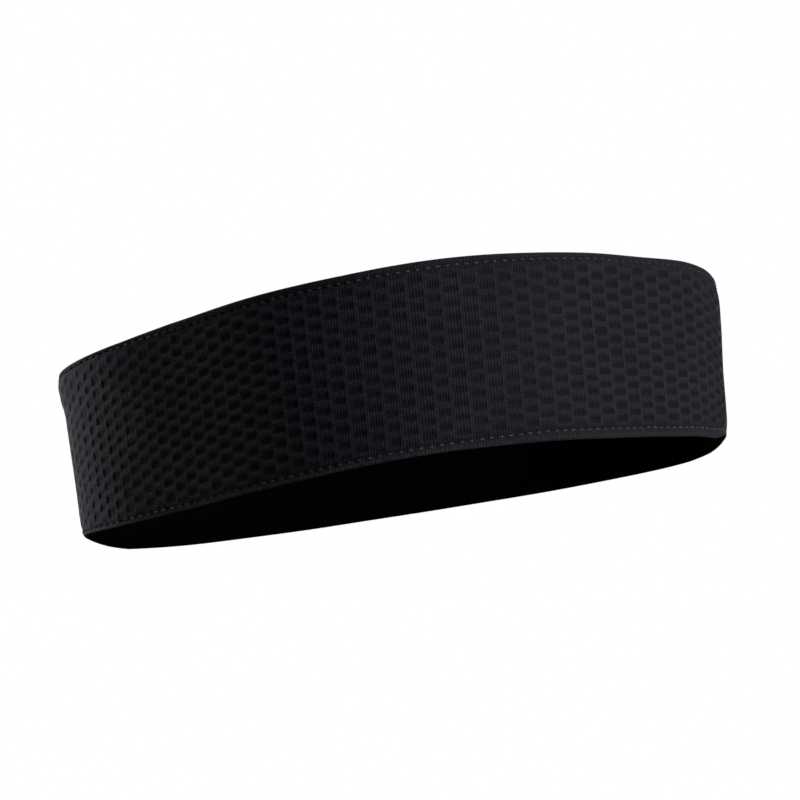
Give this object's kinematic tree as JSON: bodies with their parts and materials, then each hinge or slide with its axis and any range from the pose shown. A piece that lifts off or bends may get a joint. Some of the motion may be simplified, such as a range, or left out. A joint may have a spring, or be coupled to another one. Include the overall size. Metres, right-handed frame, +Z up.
{
  "type": "sports headband",
  "caption": "Wide stretch-knit sports headband: a two-layer fabric loop with turned, topstitched edges, a flat seam at the back and a blank sewn-in label.",
  "frame": {"origin": "under the middle of the loop's bounding box, on the plane that the lower edge rests on", "axes": "+Z up from the lower edge to the upper edge, +X along the loop's long side to the right as seen from the front, -Y towards the bowed front that lies on the forehead"},
  "size_m": [0.2028, 0.0978, 0.05],
  "materials": {
    "shell_knit": "near-black bird's-eye jacquard knit with small sunk cells, soft matt with a faint sheen",
    "lining_knit": "black brushed jersey, matt",
    "thread_charcoal": "charcoal spun polyester thread, satin",
    "thread_black": "black spun polyester thread, satin",
    "label_satin": "black woven satin ribbon, blank, soft sheen"
  },
  "bodies": {
    "root": {"outer_shell": "shell_knit", "inner_lining": "lining_knit", "top_joining_thread": "thread_charcoal", "bottom_joining_thread": "thread_charcoal", "top_topstitch_needle_thread": "thread_charcoal", "top_topstitch_bobbin_thread": "thread_black", "bottom_topstitch_needle_thread": "thread_charcoal", "bottom_topstitch_bobbin_thread": "thread_black", "rear_seam_shell_thread": "thread_charcoal", "rear_seam_lining_thread": "thread_black", "rear_bartack_threads": "thread_charcoal", "care_label_sewn_edge": "label_satin", "care_label_tack_thread": "thread_black"},
    "care_label": {"care_label_flap": "label_satin"}
  },
  "joints": [
    {"name": "label_fold", "type": "hinge", "parent": "root", "child": "care_label", "pos_m": [0.00377, 0.04484, 0.032], "axis": [0, 0, -1], "range_deg": [0, 120], "stiffness_Nm_per_rad": 0.00002}
  ]
}
